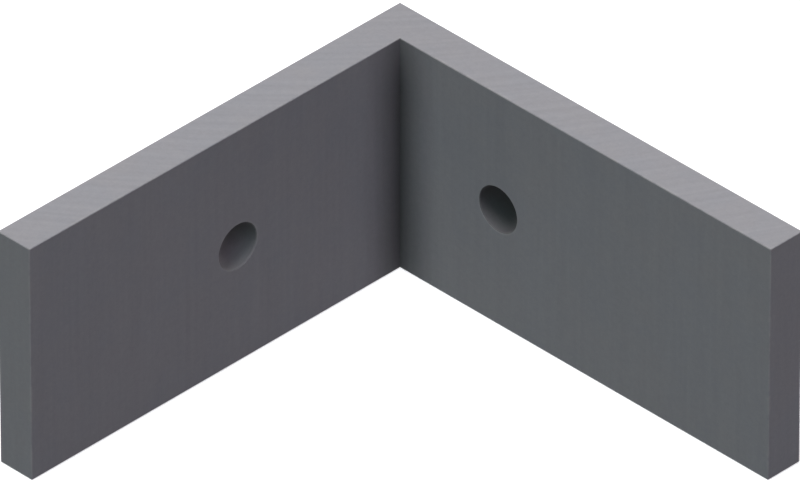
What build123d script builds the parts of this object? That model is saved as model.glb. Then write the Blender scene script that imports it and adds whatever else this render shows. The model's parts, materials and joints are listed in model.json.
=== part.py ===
from build123d import *
import os

# Angle bracket: a short length of square-cornered angle bar with one bolt hole in each leg.
#
# Millimetres, +Z up. The origin is the outside corner of the heel, at the bottom. One leg runs
# along +X and the other along -Y, and the bracket stands on its L-shaped end, so the width of the
# bar is its height here. The face of each leg on the inside of the angle is its inner face.

# Bar section
x_leg_length = 75.0  # from the heel to the end of the leg along +X
y_leg_length = 75.0  # from the heel to the end of the leg along -Y
leg_thickness = 6.0

# Length cut from the bar
bracket_width = 37.5

# Bolt holes, straight through each leg: 7.0 mm passes an M6 bolt with coarse clearance
hole_diameter = 7.0
x_leg_hole_from_heel = 24.5
y_leg_hole_from_heel = 36.5

# Sharp edges taken off with a file or a deburring tool
edge_break = 0.1
hole_break = 0.1

# Both holes lie on the centre line of the bar's width.
mid_width = bracket_width / 2

# The inner face of each leg, as a plane with its origin on the hole's axis and its normal pointing
# into the angle.
x_leg_inner_face = Plane(
    origin=(x_leg_hole_from_heel, -leg_thickness, mid_width),
    x_dir=(1, 0, 0),
    z_dir=(0, -1, 0),
)
y_leg_inner_face = Plane(
    origin=(leg_thickness, -y_leg_hole_from_heel, mid_width),
    x_dir=(0, 1, 0),
    z_dir=(1, 0, 0),
)

with BuildPart() as angle_bracket:
    # The section of the bar, anticlockwise from the heel round to the root and back
    with BuildSketch(Plane.XY):
        with BuildLine():
            Polyline(
                (0, 0),
                (0, -y_leg_length),
                (leg_thickness, -y_leg_length),
                (leg_thickness, -leg_thickness),
                (x_leg_length, -leg_thickness),
                (x_leg_length, 0),
                close=True,
            )
        make_face()
    extrude(amount=bracket_width)

    # Every edge is broken but the root, the inside corner where the two legs meet, which is sharp.
    root_middle = (leg_thickness, -leg_thickness, mid_width)
    root = angle_bracket.edges().filter_by(Axis.Z).sort_by_distance(root_middle).first
    outside_edges = angle_bracket.edges().filter_by(lambda edge: edge != root)
    chamfer(outside_edges, length=edge_break)

    # One hole through each leg, square to it, with both mouths broken
    with Locations(x_leg_inner_face, y_leg_inner_face):
        Hole(radius=hole_diameter / 2)
    hole_mouths = angle_bracket.edges().filter_by(GeomType.CIRCLE)
    chamfer(hole_mouths, length=hole_break)

angle_bracket.part.label = "angle_bracket"

os.makedirs("parts", exist_ok=True)
export_step(angle_bracket.part, "parts/angle_bracket.step")
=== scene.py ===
"""Angle bracket in matt grey steel, standing on a pale studio floor."""

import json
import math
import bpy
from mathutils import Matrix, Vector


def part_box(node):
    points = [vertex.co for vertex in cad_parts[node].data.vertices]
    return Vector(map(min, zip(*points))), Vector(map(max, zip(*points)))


bl_info = {
    "name": "Angle Bracket Studio",
    "version": (1, 0, 0),
    "blender": (4, 5, 0),
    "location": "3D View > Sidebar > Bracket",
    "description": "Finishes an angle bracket in matt grey steel and sets it in a pale studio",
    "category": "Object",
}

import bpy
from bpy.props import FloatProperty, FloatVectorProperty, PointerProperty
from mathutils import Vector

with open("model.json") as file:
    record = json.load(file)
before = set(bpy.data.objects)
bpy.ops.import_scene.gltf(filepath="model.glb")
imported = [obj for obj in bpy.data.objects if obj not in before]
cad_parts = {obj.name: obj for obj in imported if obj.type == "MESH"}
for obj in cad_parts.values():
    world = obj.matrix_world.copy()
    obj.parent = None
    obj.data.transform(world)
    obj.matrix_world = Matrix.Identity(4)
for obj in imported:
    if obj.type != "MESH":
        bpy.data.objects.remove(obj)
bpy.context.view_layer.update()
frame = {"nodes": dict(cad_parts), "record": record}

# The bracket's own sizes, read from the frame in metres. It stands on one of its L-shaped cut
# ends, with the heel at the origin, one leg along +X and the other along -Y.
BRACKET = "angle_bracket"
MOUNTS = {mount["name"]: mount for mount in frame["record"]["mounts"]}
BOX_LOW, BOX_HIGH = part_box(BRACKET)
X_LEG_LENGTH = BOX_HIGH.x
Y_LEG_LENGTH = -BOX_LOW.y
WIDTH = BOX_HIGH.z
THICKNESS = -MOUNTS["x_leg_inner_face"]["pos_m"][1]
HOLES = (MOUNTS["x_leg_hole"], MOUNTS["y_leg_hole"])
MM = 0.001
SURFACE_SLACK = 0.05 * MM  # how far off a face a point may lie and still count as on it

# Marks of the making: streaks of the rolls, arcs of the saw round its hub, rings of the drill
STREAK_PITCH = 0.9 * MM
STREAK_STRETCH = 25.0  # how many times longer than wide a streak is
BLADE_CENTRE = (-120.0 * MM, 100.0 * MM, 0.0)
SAW_PITCH = 1.1 * MM
DRILL_PITCH = 0.35 * MM

# Grain and patches of the coat
GRAIN_PITCH = 0.7 * MM
FINE_GRAIN_PITCH = 0.45  # in pitches of the coarse grain
FINE_GRAIN_SHARE = 0.4
MOTTLE_PITCH = 4.0 * MM
SLOW_MOTTLE_PITCH = 4.0  # in pitches of the patches
SLOW_MOTTLE_SHARE = 0.5
NOISE_LOW, NOISE_HIGH = 0.35, 0.65  # most of a noise lies between these two values
MARKS_IN_RELIEF = 0.3  # share of the marks in the relief; the grain has the rest
UNEVEN_ROUGHNESS = 0.25  # how far the patches take the roughness up and down, as a share of it

# Rub along the edges
WEAR_REACH = 0.35 * MM
WEAR_PATCH_PITCH = 5.0 * MM
WEAR_LEAST, WEAR_MOST = 0.3, 1.7  # width of the rub where it's thin and where it's broad
CHIP_PITCH = 3.0  # in reaches of the rub
CHIP_OPEN, CHIP_WHOLE = 0.3, 0.6  # chip noise at which the rub breaks off, and at which it's whole
WEAR_POLISH = -0.12  # what the rub adds to the roughness

# Painted shade of the inside corner, eased at its top and its foot
CORNER_REACH = 7.6 * MM
CORNER_TONE = 0.227
CORNER_CURVE = 1.4
CORNER_END_REACH = 9.5 * MM
CORNER_END_CURVE = 2.0
CORNER_TOP_EASE = 0.43
CORNER_FOOT_EASE = 0.13

HOLE_RADIUS = HOLES[0]["dims"]["r_mm"] * MM
HOLE_BREAK = 0.1 * MM

# The camera sees all three axes at equal angles.
VIEW_AZIMUTH = math.radians(45)
VIEW_ELEVATION = math.atan(math.sqrt(0.5))
SENSOR_WIDTH = 36.0
VIEW_END = 10.0  # the camera shows nothing past this distance

WHITE = (1.0, 1.0, 1.0, 1.0)

FLOAT = "NodeSocketFloat"
VECTOR = "NodeSocketVector"


# Node helpers


def set_inputs(tree, node, inputs):
    """Links a socket, or writes a plain value, into each named input of a node."""
    for name, value in inputs.items():
        if isinstance(value, bpy.types.NodeSocket):
            tree.links.new(value, node.inputs[name])
        else:
            node.inputs[name].default_value = value


def add(tree, kind, label="", inputs=None, **settings):
    """Adds one node to a tree with its settings and inputs."""
    node = tree.nodes.new(kind)
    node.label = label
    for name, value in settings.items():
        setattr(node, name, value)
    set_inputs(tree, node, inputs or {})
    return node


def calculate(tree, operation, first, second=0.0, third=0.0, clamp=False):
    """One Math node, given as its operation and its values or sockets."""
    node = add(tree, "ShaderNodeMath", operation=operation, use_clamp=clamp)
    set_inputs(tree, node, {0: first, 1: second, 2: third})
    return node.outputs[0]


def chain(tree, operation, values):
    """The same operation over a row of values, such as the smallest of them or their product."""
    result = values[0]
    for value in values[1:]:
        result = calculate(tree, operation, result, value)
    return result


def calculate_vector(tree, operation, first, second=None, scale=None):
    """One Vector Math node; gives its number if the operation makes one, or else its vector."""
    node = add(tree, "ShaderNodeVectorMath", operation=operation)
    inputs = {0: first}
    if second is not None:
        inputs[1] = second
    if scale is not None:
        inputs["Scale"] = scale
    set_inputs(tree, node, inputs)
    return node.outputs["Value" if operation in {"DISTANCE", "DOT_PRODUCT"} else "Vector"]


def fade(tree, value, start, end, low=0.0, high=1.0, curve="SMOOTHSTEP"):
    """A value taken from low at start to high at end, and held there outside."""
    node = add(tree, "ShaderNodeMapRange", interpolation_type=curve)
    inputs = {"Value": value, "From Min": start, "From Max": end, "To Min": low, "To Max": high}
    set_inputs(tree, node, inputs)
    return node.outputs["Result"]


def blend(tree, share, first, second):
    """Blends two values; a share of 0 gives the first and 1 the second."""
    return fade(tree, share, 0.0, 1.0, first, second, curve="LINEAR")


def swing(tree, pattern, reach):
    """Turns a pattern of 0 to 1 into a factor that swings round 1 by this reach each way."""
    centred = calculate(tree, "SUBTRACT", pattern, 0.5)
    return calculate(tree, "MULTIPLY_ADD", centred, 2.0 * reach, 1.0)


def noise(tree, place, pitch, detail=2.0, dimensions="3D"):
    """Noise of 0 to 1 whose blobs are about one pitch apart."""
    scale = calculate(tree, "DIVIDE", 1.0, pitch)
    node = add(tree, "ShaderNodeTexNoise", noise_dimensions=dimensions)
    socket = "W" if dimensions == "1D" else "Vector"
    set_inputs(tree, node, {socket: place, "Scale": scale, "Detail": detail})
    return node.outputs[0]


def mix_colours(tree, share, first, second):
    """Blends two colours; a share of 0 gives the first and 1 the second."""
    node = add(tree, "ShaderNodeMix", data_type="RGBA")
    factor, low, high = (node.inputs[0], node.inputs[6], node.inputs[7])
    for socket, value in ((factor, share), (low, first), (high, second)):
        if isinstance(value, bpy.types.NodeSocket):
            tree.links.new(value, socket)
        else:
            socket.default_value = value
    return node.outputs[2]


def new_group(name, inputs, outputs):
    """An empty shader node group with these sockets, and its input and output nodes."""
    group = bpy.data.node_groups.new(name, "ShaderNodeTree")
    for label, (kind, default) in inputs.items():
        socket = group.interface.new_socket(label, in_out="INPUT", socket_type=kind)
        if default is not None:
            socket.default_value = default
    for label in outputs:
        group.interface.new_socket(label, in_out="OUTPUT", socket_type=FLOAT)
    return group, add(group, "NodeGroupInput").outputs, add(group, "NodeGroupOutput")


def place_group(tree, group, label, inputs):
    """Puts a node group into a material with its own values."""
    node = add(tree, "ShaderNodeGroup", label)
    node.node_tree = group
    set_inputs(tree, node, inputs)
    return node.outputs


# The bracket's finish


class BracketFinish(bpy.types.PropertyGroup):
    """Colours and sizes of the bracket's matt steel finish, and of the shade painted into its
    inside corner and holes
    """

    colour: FloatVectorProperty(
        name="Colour",
        description="Main colour of the finish",
        subtype="COLOR",
        min=0.0,
        max=1.0,
        default=(0.297, 0.30, 0.318),
    )
    warm_colour: FloatVectorProperty(
        name="Warm Colour",
        description="Colour that the finish drifts to in slow patches",
        subtype="COLOR",
        min=0.0,
        max=1.0,
        default=(0.303, 0.30, 0.312),
    )
    worn_colour: FloatVectorProperty(
        name="Worn Colour",
        description="Colour where handling has rubbed the edges",
        subtype="COLOR",
        min=0.0,
        max=1.0,
        default=(0.355, 0.35, 0.35),
    )
    roughness: FloatProperty(
        name="Roughness",
        description="How matt the finish is",
        subtype="FACTOR",
        min=0.0,
        max=1.0,
        default=0.6,
    )
    shine: FloatProperty(
        name="Shine",
        description="Specular level of the finish",
        subtype="FACTOR",
        min=0.0,
        max=1.0,
        default=0.12,
    )
    relief: FloatProperty(
        name="Relief",
        description="Height of the texture from its lowest to its highest point",
        unit="LENGTH",
        precision=6,
        default=0.02 * MM,
    )
    grain_pitch: FloatProperty(
        name="Grain Pitch",
        description="Distance between the grains of the coat",
        unit="LENGTH",
        default=GRAIN_PITCH,
    )
    grain_tone: FloatProperty(
        name="Grain Tone",
        description="How much the grain lightens and darkens the colour",
        subtype="FACTOR",
        min=0.0,
        max=1.0,
        default=0.1,
    )
    mottle_pitch: FloatProperty(
        name="Mottle Pitch",
        description="Distance between the soft patches of the coat",
        unit="LENGTH",
        default=MOTTLE_PITCH,
    )
    mottle_tone: FloatProperty(
        name="Mottle Tone",
        description="How much the patches lighten and darken the colour",
        subtype="FACTOR",
        min=0.0,
        max=1.0,
        default=0.08,
    )
    line_tone: FloatProperty(
        name="Line Tone",
        description="How much the rolling, saw and drill marks show through the coat",
        subtype="FACTOR",
        min=0.0,
        max=1.0,
        default=0.06,
    )
    saw_pitch: FloatProperty(
        name="Saw Pitch",
        description="Distance between the saw marks on the two cut ends",
        unit="LENGTH",
        default=SAW_PITCH,
    )
    wear_reach: FloatProperty(
        name="Wear Reach",
        description="How far the rub marks spread from an edge",
        unit="LENGTH",
        default=WEAR_REACH,
    )
    wear_strength: FloatProperty(
        name="Wear Strength",
        description="How strongly the rubbed edges show",
        subtype="FACTOR",
        min=0.0,
        max=1.0,
        default=0.6,
    )
    # Painted shade of the inside corner
    corner_reach: FloatProperty(
        name="Corner Reach",
        description="How far the dark of the inside corner spreads along each leg",
        unit="LENGTH",
        default=CORNER_REACH,
    )
    corner_tone: FloatProperty(
        name="Corner Tone",
        description="Share of the colour that is left in the inside corner",
        subtype="FACTOR",
        min=0.0,
        max=1.0,
        default=CORNER_TONE,
    )
    corner_end_reach: FloatProperty(
        name="Corner End Reach",
        description="How far from its top and its foot the dark of the corner is eased",
        unit="LENGTH",
        default=CORNER_END_REACH,
    )
    corner_top_ease: FloatProperty(
        name="Corner Top Ease",
        description="Share of the corner's dark that is lost at its top",
        subtype="FACTOR",
        min=0.0,
        max=1.0,
        default=CORNER_TOP_EASE,
    )
    corner_foot_ease: FloatProperty(
        name="Corner Foot Ease",
        description="Share of the corner's dark that is lost at its foot",
        subtype="FACTOR",
        min=0.0,
        max=1.0,
        default=CORNER_FOOT_EASE,
    )
    # Painted shade in the two holes, at the mouth inside the angle and at the far end
    x_leg_mouth_tone: FloatProperty(
        name="X Leg Mouth Tone",
        description="Share of the colour left in the X leg's hole, at its mouth inside the angle",
        subtype="FACTOR",
        min=0.0,
        max=1.0,
        default=0.36,
    )
    x_leg_deep_tone: FloatProperty(
        name="X Leg Deep Tone",
        description="Share of the colour left in the X leg's hole, at its far end",
        subtype="FACTOR",
        min=0.0,
        max=1.0,
        default=0.18,
    )
    y_leg_mouth_tone: FloatProperty(
        name="Y Leg Mouth Tone",
        description="Share of the colour left in the Y leg's hole, at its mouth inside the angle",
        subtype="FACTOR",
        min=0.0,
        max=1.0,
        default=0.54,
    )
    y_leg_deep_tone: FloatProperty(
        name="Y Leg Deep Tone",
        description="Share of the colour left in the Y leg's hole, at its far end",
        subtype="FACTOR",
        min=0.0,
        max=1.0,
        default=0.8,
    )
    hole_break: FloatProperty(
        name="Hole Break",
        description="Width of the broken edge round the mouth of each hole",
        unit="LENGTH",
        default=HOLE_BREAK,
    )


def edge_group():
    """Finds how far a point lies from the nearest sharp edge, and which faces the saw has cut."""
    group, given, result = new_group(
        "Bracket Edges",
        {
            "Position": (VECTOR, None),
            "X Leg": (FLOAT, X_LEG_LENGTH),
            "Y Leg": (FLOAT, Y_LEG_LENGTH),
            "Thickness": (FLOAT, THICKNESS),
            "Width": (FLOAT, WIDTH),
        },
        ["Edge", "Sawn"],
    )
    x_leg, y_leg, thick = given["X Leg"], given["Y Leg"], given["Thickness"]
    axes = add(group, "ShaderNodeSeparateXYZ", inputs={0: given["Position"]}).outputs
    # In plan: x along one leg and down along the other, both from the heel
    x, z = axes["X"], axes["Z"]
    down = calculate(group, "MULTIPLY", axes["Y"], -1.0)

    def inside(along, length, across):
        """How deep a point lies inside one leg's rectangle."""
        to_end = calculate(group, "SUBTRACT", length, along)
        to_back = calculate(group, "SUBTRACT", thick, across)
        return chain(group, "MINIMUM", [along, to_end, across, to_back])

    in_section = chain(group, "MAXIMUM", [inside(x, x_leg, down), inside(down, y_leg, x)])
    from_sawn = chain(group, "MINIMUM", [z, calculate(group, "SUBTRACT", given["Width"], z)])
    edge = calculate(group, "MAXIMUM", in_section, from_sawn)
    plan = add(group, "ShaderNodeCombineXYZ", inputs={0: x, 1: down}).outputs[0]
    corners = ((0.0, 0.0), (x_leg, 0.0), (x_leg, thick), (thick, y_leg), (0.0, y_leg))
    for corner_x, corner_down in corners:
        corner = add(group, "ShaderNodeCombineXYZ", inputs={0: corner_x, 1: corner_down})
        away = calculate_vector(group, "DISTANCE", plan, corner.outputs[0])
        edge = calculate(group, "MINIMUM", edge, away)
    sawn = calculate(group, "LESS_THAN", from_sawn, SURFACE_SLACK)
    group.links.new(edge, result.inputs["Edge"])
    group.links.new(sawn, result.inputs["Sawn"])
    return group


def corner_group():
    """Paints shade on the inner faces towards the corner between them, less so at its two open
    ends.
    """
    group, given, result = new_group(
        "Corner Shade",
        {
            "Position": (VECTOR, None),
            "Thickness": (FLOAT, THICKNESS),
            "Width": (FLOAT, WIDTH),
            "Reach": (FLOAT, CORNER_REACH),
            "Tone": (FLOAT, CORNER_TONE),
            "Curve": (FLOAT, CORNER_CURVE),
            "End Reach": (FLOAT, CORNER_END_REACH),
            "Top Ease": (FLOAT, CORNER_TOP_EASE),
            "Foot Ease": (FLOAT, CORNER_FOOT_EASE),
        },
        ["Shade"],
    )

    def nearness(distance, reach, curve):
        """1 at no distance, bent down to 0 at the reach."""
        share = calculate(group, "DIVIDE", distance, reach)
        left = calculate(group, "SUBTRACT", 1.0, share, clamp=True)
        return calculate(group, "POWER", left, curve)

    def open_end(distance, ease):
        """Share of the dark that one open end of the corner leaves."""
        near = nearness(distance, given["End Reach"], CORNER_END_CURVE)
        return calculate(group, "SUBTRACT", 1.0, calculate(group, "MULTIPLY", near, ease))

    axes = add(group, "ShaderNodeSeparateXYZ", inputs={0: given["Position"]}).outputs
    # How far a point lies inside the angle, measured from each inner face
    from_y_leg = calculate(group, "SUBTRACT", axes["X"], given["Thickness"])
    down = calculate(group, "MULTIPLY", axes["Y"], -1.0)
    from_x_leg = calculate(group, "SUBTRACT", down, given["Thickness"])
    along = calculate(group, "MAXIMUM", from_y_leg, from_x_leg)
    nearest = calculate(group, "MINIMUM", from_y_leg, from_x_leg)
    inside = calculate(group, "GREATER_THAN", nearest, -SURFACE_SLACK)
    bent = nearness(along, given["Reach"], given["Curve"])
    depth = calculate(group, "SUBTRACT", 1.0, given["Tone"])
    top = open_end(calculate(group, "SUBTRACT", given["Width"], axes["Z"]), given["Top Ease"])
    foot = open_end(axes["Z"], given["Foot Ease"])
    # The painted shade: darkest along the corner, eased towards its top and its foot
    dark = chain(group, "MULTIPLY", [bent, depth, inside, top, foot])
    shade = calculate(group, "SUBTRACT", 1.0, dark)
    group.links.new(shade, result.inputs["Shade"])
    return group


def bore_group():
    """Finds the wall of one hole, how deep a point lies in it, and how far from its rims."""
    group, given, result = new_group(
        "Bore",
        {
            "Position": (VECTOR, None),
            "Centre": (VECTOR, None),
            "Axis": (VECTOR, None),
            "Radius": (FLOAT, HOLE_RADIUS),
            "Length": (FLOAT, THICKNESS),
            "Break": (FLOAT, HOLE_BREAK),
        },
        ["Wall", "Depth", "Rim"],
    )
    from_centre = calculate_vector(group, "SUBTRACT", given["Position"], given["Centre"])
    along = calculate_vector(group, "DOT_PRODUCT", from_centre, given["Axis"])
    on_axis = calculate_vector(group, "SCALE", given["Axis"], scale=along)
    from_axis = calculate_vector(group, "DISTANCE", from_centre, on_axis)
    mouth = calculate(group, "ADD", given["Radius"], given["Break"])
    in_mouth = calculate(group, "SUBTRACT", mouth, SURFACE_SLACK)
    within = fade(group, from_axis, mouth, in_mouth)
    half = calculate(group, "MULTIPLY", given["Length"], 0.5)
    inward = calculate(group, "SUBTRACT", half, calculate(group, "ABSOLUTE", along))
    in_leg = calculate(group, "GREATER_THAN", inward, -SURFACE_SLACK)
    wall = calculate(group, "MULTIPLY", within, in_leg)
    outward = calculate(group, "SUBTRACT", from_axis, given["Radius"])
    rim = calculate(group, "MAXIMUM", inward, outward)
    # The axis points out of the mouth inside the angle, so the depth runs from there.
    depth = calculate(group, "SUBTRACT", half, along)
    for name, value in (("Wall", wall), ("Depth", depth), ("Rim", rim)):
        group.links.new(value, result.inputs[name])
    return group


def coat_group():
    """Fine grain and slow soft patches of a sprayed matt coat."""
    group, given, result = new_group(
        "Matt Coat",
        {
            "Position": (VECTOR, None),
            "Grain Pitch": (FLOAT, GRAIN_PITCH),
            "Mottle Pitch": (FLOAT, MOTTLE_PITCH),
        },
        ["Grain", "Mottle"],
    )
    position = given["Position"]
    coarse = noise(group, position, given["Grain Pitch"], detail=2.0)
    fine_pitch = calculate(group, "MULTIPLY", given["Grain Pitch"], FINE_GRAIN_PITCH)
    fine = noise(group, position, fine_pitch, detail=1.0)
    grain = blend(group, FINE_GRAIN_SHARE, coarse, fine)
    patches = noise(group, position, given["Mottle Pitch"], detail=3.0)
    slow_pitch = calculate(group, "MULTIPLY", given["Mottle Pitch"], SLOW_MOTTLE_PITCH)
    slow = noise(group, position, slow_pitch, detail=1.0)
    mottle = blend(group, SLOW_MOTTLE_SHARE, patches, slow)
    group.links.new(grain, result.inputs["Grain"])
    group.links.new(mottle, result.inputs["Mottle"])
    return group


def marks_group():
    """Marks of the making under the coat: rolling streaks, and saw arcs on the cut ends."""
    group, given, result = new_group(
        "Making Marks",
        {
            "Position": (VECTOR, None),
            "Sawn": (FLOAT, 0.0),
            "Streak Pitch": (FLOAT, STREAK_PITCH),
            "Streak Stretch": (FLOAT, STREAK_STRETCH),
            "Saw Pitch": (FLOAT, SAW_PITCH),
            "Blade Centre": (VECTOR, BLADE_CENTRE),
        },
        ["Marks"],
    )
    position = given["Position"]
    shorter = calculate(group, "DIVIDE", 1.0, given["Streak Stretch"])
    squeeze = add(group, "ShaderNodeCombineXYZ", inputs={0: 1.0, 1: 1.0, 2: shorter}).outputs[0]
    drawn_out = calculate_vector(group, "MULTIPLY", position, squeeze)
    streaks = noise(group, drawn_out, given["Streak Pitch"], detail=3.0)
    flat = calculate_vector(group, "MULTIPLY", position, (1.0, 1.0, 0.0))
    from_blade = calculate_vector(group, "DISTANCE", flat, given["Blade Centre"])
    arcs = noise(group, from_blade, given["Saw Pitch"], detail=1.0, dimensions="1D")
    marks = blend(group, given["Sawn"], streaks, arcs)
    group.links.new(marks, result.inputs["Marks"])
    return group


def wear_group():
    """Broken lines of rub along the edges."""
    group, given, result = new_group(
        "Edge Wear",
        {
            "Position": (VECTOR, None),
            "Edge": (FLOAT, 1.0),
            "Reach": (FLOAT, WEAR_REACH),
            "Patch Pitch": (FLOAT, WEAR_PATCH_PITCH),
        },
        ["Wear"],
    )
    patches = noise(group, given["Position"], given["Patch Pitch"], detail=3.0)
    spread = fade(group, patches, NOISE_LOW, NOISE_HIGH, WEAR_LEAST, WEAR_MOST)
    reach = calculate(group, "MULTIPLY", given["Reach"], spread)
    line = fade(group, given["Edge"], reach, 0.0)
    chip_pitch = calculate(group, "MULTIPLY", given["Reach"], CHIP_PITCH)
    chips = noise(group, given["Position"], chip_pitch, detail=2.0)
    broken = fade(group, chips, CHIP_OPEN, CHIP_WHOLE)
    wear = calculate(group, "MULTIPLY", line, broken)
    group.links.new(wear, result.inputs["Wear"])
    return group


def steel_material(finish):
    """Matt grey steel with fine grain and faint marks, with painted shade in the inside corner and
    the holes.
    """
    material = bpy.data.materials.new("grey_steel")
    material.use_nodes = True
    tree = material.node_tree
    shader = tree.nodes["Principled BSDF"]
    position = add(tree, "ShaderNodeTexCoord").outputs["Object"]
    edges = place_group(tree, edge_group(), "Edges", {"Position": position})
    inputs = {
        "Position": position,
        "Reach": finish.corner_reach,
        "Tone": finish.corner_tone,
        "End Reach": finish.corner_end_reach,
        "Top Ease": finish.corner_top_ease,
        "Foot Ease": finish.corner_foot_ease,
    }
    corner = place_group(tree, corner_group(), "Corner shade", inputs)
    inputs = {
        "Position": position,
        "Grain Pitch": finish.grain_pitch,
        "Mottle Pitch": finish.mottle_pitch,
    }
    coat = place_group(tree, coat_group(), "Coat", inputs)
    inputs = {"Position": position, "Sawn": edges["Sawn"], "Saw Pitch": finish.saw_pitch}
    marks = place_group(tree, marks_group(), "Marks", inputs)["Marks"]

    # Both holes, each with its own painted shade that changes with depth, and with drill rings on
    # its wall
    bore = bore_group()
    bore_shades, nearest_edge = [], edges["Edge"]
    hole_tones = (
        (finish.x_leg_mouth_tone, finish.x_leg_deep_tone),
        (finish.y_leg_mouth_tone, finish.y_leg_deep_tone),
    )
    for hole, (mouth_tone, deep_tone) in zip(HOLES, hole_tones):
        inputs = {
            "Position": position,
            "Centre": hole["pos_m"],
            "Axis": hole["axis"],
            "Radius": hole["dims"]["r_mm"] * MM,
            "Break": finish.hole_break,
        }
        made = place_group(tree, bore, hole["name"], inputs)
        # Painted shade in the hole, going from the mouth tone to the deep tone along its depth
        tone = fade(tree, made["Depth"], 0.0, THICKNESS, mouth_tone, deep_tone, curve="LINEAR")
        bore_shades.append(blend(tree, made["Wall"], 1.0, tone))
        nearest_edge = calculate(tree, "MINIMUM", nearest_edge, made["Rim"])
        rings = noise(tree, made["Depth"], DRILL_PITCH, dimensions="1D")
        marks = blend(tree, made["Wall"], marks, rings)

    inputs = {"Position": position, "Edge": nearest_edge, "Reach": finish.wear_reach}
    wear = place_group(tree, wear_group(), "Wear", inputs)["Wear"]

    # Colour, scaled by the painted shade of the corner and the holes and by the finish's own
    # grain, patches and marks
    shades = [
        corner["Shade"],
        *bore_shades,
        swing(tree, coat["Grain"], finish.grain_tone),
        swing(tree, coat["Mottle"], finish.mottle_tone),
        swing(tree, marks, finish.line_tone),
    ]
    cool, warm, worn = (
        tuple(colour) + (1.0,)
        for colour in (finish.colour, finish.warm_colour, finish.worn_colour)
    )
    drift = fade(tree, coat["Mottle"], NOISE_LOW, NOISE_HIGH)
    rubbed = calculate(tree, "MULTIPLY", wear, finish.wear_strength)
    colour = mix_colours(tree, rubbed, mix_colours(tree, drift, cool, warm), worn)
    shaded = calculate_vector(tree, "SCALE", colour, scale=chain(tree, "MULTIPLY", shades))

    # Roughness and relief
    unevenness = swing(tree, coat["Mottle"], UNEVEN_ROUGHNESS)
    uneven = calculate(tree, "MULTIPLY", unevenness, finish.roughness)
    roughness = calculate(tree, "MULTIPLY_ADD", wear, WEAR_POLISH, uneven)
    height = blend(tree, MARKS_IN_RELIEF, coat["Grain"], marks)
    inputs = {"Height": height, "Distance": finish.relief, "Strength": 1.0}
    bump = add(tree, "ShaderNodeBump", inputs=inputs)
    inputs = {"Base Color": shaded, "Roughness": roughness, "Normal": bump.outputs["Normal"]}
    set_inputs(tree, shader, inputs)
    shader.inputs["Specular IOR Level"].default_value = finish.shine
    return material


class BRACKET_OT_finish(bpy.types.Operator):
    """Give the bracket its matt grey steel finish, with painted shade in its inside corner and
    holes
    """

    bl_idname = "bracket.finish"
    bl_label = "Finish Bracket"

    def execute(self, context):
        finish = context.scene.bracket_finish
        bracket = frame["nodes"][BRACKET]
        if not bracket.material_slots:
            raise RuntimeError(f"{BRACKET} has no material slot to take the finish")
        material = steel_material(finish)
        for slot in bracket.material_slots:
            slot.material = material
        return {"FINISHED"}


# The studio


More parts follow.
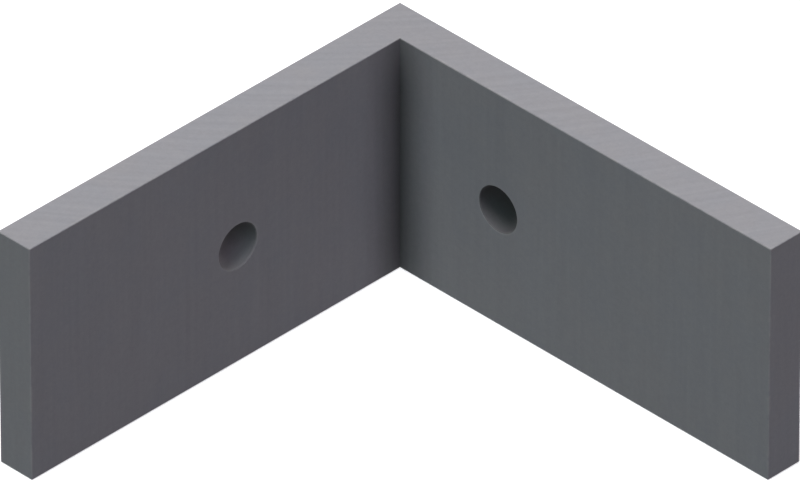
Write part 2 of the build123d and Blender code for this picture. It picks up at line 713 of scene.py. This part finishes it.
class StudioStage(bpy.types.PropertyGroup):
    """Floor, light and camera of the studio"""

    floor_size: FloatProperty(
        name="Floor Size",
        description="Side of the square floor",
        unit="LENGTH",
        default=20.0,
    )
    floor_drop: FloatProperty(
        name="Floor Drop",
        description="How far the floor lies under the bracket's foot",
        unit="LENGTH",
        default=0.02 * MM,
    )
    bounce: FloatProperty(
        name="Floor Bounce",
        description="How much light the floor throws back onto the bracket",
        subtype="FACTOR",
        min=0.0,
        max=1.0,
        default=0.05,
    )
    floor_glow: FloatProperty(
        name="Floor Glow",
        description="Light that the floor shows by itself, to stay white round the bracket",
        subtype="FACTOR",
        min=0.0,
        max=1.0,
        default=0.35,
    )
    ambient: FloatProperty(
        name="Ambient",
        description="Even light from all around",
        min=0.0,
        default=0.074,
    )
    left_key: FloatVectorProperty(
        name="Left Key",
        description="Strength and tint of the key light on the left leg",
        subtype="COLOR",
        min=0.0,
        soft_max=5.0,
        default=(0.527, 0.406, 0.525),
    )
    right_key: FloatVectorProperty(
        name="Right Key",
        description="Strength and tint of the key light on the right leg",
        subtype="COLOR",
        min=0.0,
        soft_max=5.0,
        default=(2.08, 2.02, 2.007),
    )
    left_spread: FloatProperty(
        name="Left Key Spread",
        description="Angle from the camera's side to the left leg's key light, seen from above",
        subtype="ANGLE",
        default=math.radians(32),
    )
    left_elevation: FloatProperty(
        name="Left Key Elevation",
        description="Height of the left leg's key light above the horizon",
        subtype="ANGLE",
        default=math.radians(52),
    )
    right_spread: FloatProperty(
        name="Right Key Spread",
        description="Angle from the camera's side to the right leg's key light, seen from above",
        subtype="ANGLE",
        default=math.radians(39),
    )
    right_elevation: FloatProperty(
        name="Right Key Elevation",
        description="Height of the right leg's key light above the horizon",
        subtype="ANGLE",
        default=math.radians(78),
    )
    key_softness: FloatProperty(
        name="Key Softness",
        description="Width of each key light in the sky",
        subtype="ANGLE",
        default=math.radians(30),
    )
    front_fill: FloatVectorProperty(
        name="Front Fill",
        description="Strength and tint of the fill light from the camera's side",
        subtype="COLOR",
        min=0.0,
        soft_max=5.0,
        default=(0.376, 0.547, 0.555),
    )
    front_spread: FloatProperty(
        name="Front Fill Spread",
        description="Angle from the camera's side to the front fill light, seen from above",
        subtype="ANGLE",
        default=math.radians(17),
    )
    front_elevation: FloatProperty(
        name="Front Elevation",
        description="Height of the front fill light above the horizon",
        subtype="ANGLE",
        default=math.radians(45),
    )
    back_fill: FloatVectorProperty(
        name="Back Fill",
        description="Strength and tint of the fill light on the outer faces",
        subtype="COLOR",
        min=0.0,
        soft_max=5.0,
        default=(0.8, 0.8, 0.8),
    )
    back_azimuth: FloatProperty(
        name="Back Azimuth",
        description="Where the back fill light stands, turned from the -Y side",
        subtype="ANGLE",
        default=math.radians(230),
    )
    back_elevation: FloatProperty(
        name="Back Elevation",
        description="Height of the back fill light above the horizon",
        subtype="ANGLE",
        default=math.radians(15),
    )
    fill_softness: FloatProperty(
        name="Fill Softness",
        description="Width of each fill light in the sky",
        subtype="ANGLE",
        default=math.radians(30),
    )
    camera_lens: FloatProperty(
        name="Lens",
        description="Focal length of the camera",
        unit="CAMERA",
        default=1000.0,
    )
    camera_distance: FloatProperty(
        name="Camera Distance",
        description="From the camera to the heel of the bracket",
        unit="LENGTH",
        default=2.993,
    )
    aim_height: FloatProperty(
        name="Aim Height",
        description="How far above the heel's foot the camera aims, in its own picture",
        unit="LENGTH",
        default=-1.264 * MM,
    )


def direction(azimuth, elevation):
    """Unit vector from the bracket to a place at these angles; azimuth 0 is the -Y side."""
    return Vector(
        (
            math.sin(azimuth) * math.cos(elevation),
            -math.cos(azimuth) * math.cos(elevation),
            math.sin(elevation),
        )
    )


def seen_directly(tree):
    """1 for rays from the camera, and for those that show a background in a shine or in glass."""
    path = add(tree, "ShaderNodeLightPath").outputs
    kinds = ("Is Camera Ray", "Is Glossy Ray", "Is Transmission Ray")
    return chain(tree, "MAXIMUM", [path[kind] for kind in kinds])


def floor_material(stage):
    """White where it is seen, grey where it lights the bracket, so the bracket keeps its shade."""
    material = bpy.data.materials.new("studio_floor")
    material.use_nodes = True
    tree = material.node_tree
    shader = tree.nodes["Principled BSDF"]
    grey = (stage.bounce,) * 3 + (1.0,)
    seen = seen_directly(tree)
    inputs = {
        "Base Color": mix_colours(tree, seen, grey, WHITE),
        "Roughness": 1.0,
        "Specular IOR Level": 0.0,
        "Emission Color": WHITE,
        "Emission Strength": calculate(tree, "MULTIPLY", seen, stage.floor_glow),
    }
    set_inputs(tree, shader, inputs)
    return material


def make_floor(stage):
    """A large flat floor just under the bracket."""
    half = stage.floor_size / 2
    mesh = bpy.data.meshes.new("studio_floor")
    corners = [(-half, -half, 0.0), (half, -half, 0.0), (half, half, 0.0), (-half, half, 0.0)]
    mesh.from_pydata(corners, [], [(0, 1, 2, 3)])
    floor = bpy.data.objects.new("studio_floor", mesh)
    bpy.context.collection.objects.link(floor)
    floor.location.z = -stage.floor_drop
    floor.data.materials.append(floor_material(stage))


def make_sun(name, colour, azimuth, elevation, softness):
    """A sun lamp whose colour and strength come from one colour value."""
    strength = max(colour)
    lamp = bpy.data.lights.new(name, "SUN")
    lamp.energy = strength
    lamp.color = [channel / strength for channel in colour] if strength else (1, 1, 1)
    lamp.angle = softness
    sun = bpy.data.objects.new(name, lamp)
    bpy.context.collection.objects.link(sun)
    sun.rotation_euler = direction(azimuth, elevation).to_track_quat("Z", "Y").to_euler()


def make_world(stage):
    """White behind the bracket, and a weak even light on it."""
    world = bpy.data.worlds.new("studio")
    bpy.context.scene.world = world
    world.use_nodes = True
    tree = world.node_tree
    strength = blend(tree, seen_directly(tree), stage.ambient, 1.0)
    set_inputs(tree, tree.nodes["Background"], {"Color": WHITE, "Strength": strength})


def make_camera(stage):
    """Looks at the bracket from far away, at equal angles to all three axes."""
    back = direction(VIEW_AZIMUTH, VIEW_ELEVATION)
    right = Vector((math.cos(VIEW_AZIMUTH), math.sin(VIEW_AZIMUTH), 0.0))
    up = back.cross(right)
    lens = bpy.data.cameras.new("studio_camera")
    lens.lens = stage.camera_lens
    lens.sensor_width = SENSOR_WIDTH
    lens.clip_end = VIEW_END
    camera = bpy.data.objects.new("studio_camera", lens)
    bpy.context.collection.objects.link(camera)
    camera.location = up * stage.aim_height + back * stage.camera_distance
    camera.rotation_euler = back.to_track_quat("Z", "Y").to_euler()
    bpy.context.scene.camera = camera


class BRACKET_OT_stage(bpy.types.Operator):
    """Set up the pale floor, the soft light and the camera"""

    bl_idname = "bracket.stage"
    bl_label = "Set Up Studio"

    def execute(self, context):
        stage = context.scene.studio_stage
        context.scene.view_settings.view_transform = "Standard"
        make_floor(stage)
        make_world(stage)
        key, fill = stage.key_softness, stage.fill_softness
        left = VIEW_AZIMUTH + stage.left_spread
        right = VIEW_AZIMUTH - stage.right_spread
        front = VIEW_AZIMUTH - stage.front_spread
        for name, azimuth, elevation, softness in (
            ("left_key", left, stage.left_elevation, key),
            ("right_key", right, stage.right_elevation, key),
            ("front_fill", front, stage.front_elevation, fill),
            ("back_fill", stage.back_azimuth, stage.back_elevation, fill),
        ):
            make_sun(name, getattr(stage, name), azimuth, elevation, softness)
        make_camera(stage)
        return {"FINISHED"}


class BRACKET_PT_panel(bpy.types.Panel):
    """Buttons that finish and light the bracket"""

    bl_idname = "BRACKET_PT_panel"
    bl_label = "Angle Bracket"
    bl_space_type = "VIEW_3D"
    bl_region_type = "UI"
    bl_category = "Bracket"

    def draw(self, context):
        self.layout.operator(BRACKET_OT_finish.bl_idname)
        self.layout.operator(BRACKET_OT_stage.bl_idname)


CLASSES = (
    BracketFinish,
    StudioStage,
    BRACKET_OT_finish,
    BRACKET_OT_stage,
    BRACKET_PT_panel,
)


def register():
    for cls in CLASSES:
        bpy.utils.register_class(cls)
    bpy.types.Scene.bracket_finish = PointerProperty(type=BracketFinish)
    bpy.types.Scene.studio_stage = PointerProperty(type=StudioStage)


def unregister():
    del bpy.types.Scene.studio_stage
    del bpy.types.Scene.bracket_finish
    for cls in reversed(CLASSES):
        bpy.utils.unregister_class(cls)


def main():
    register()
    bpy.ops.bracket.finish()
    bpy.ops.bracket.stage()


if __name__ == "__main__":
    main()
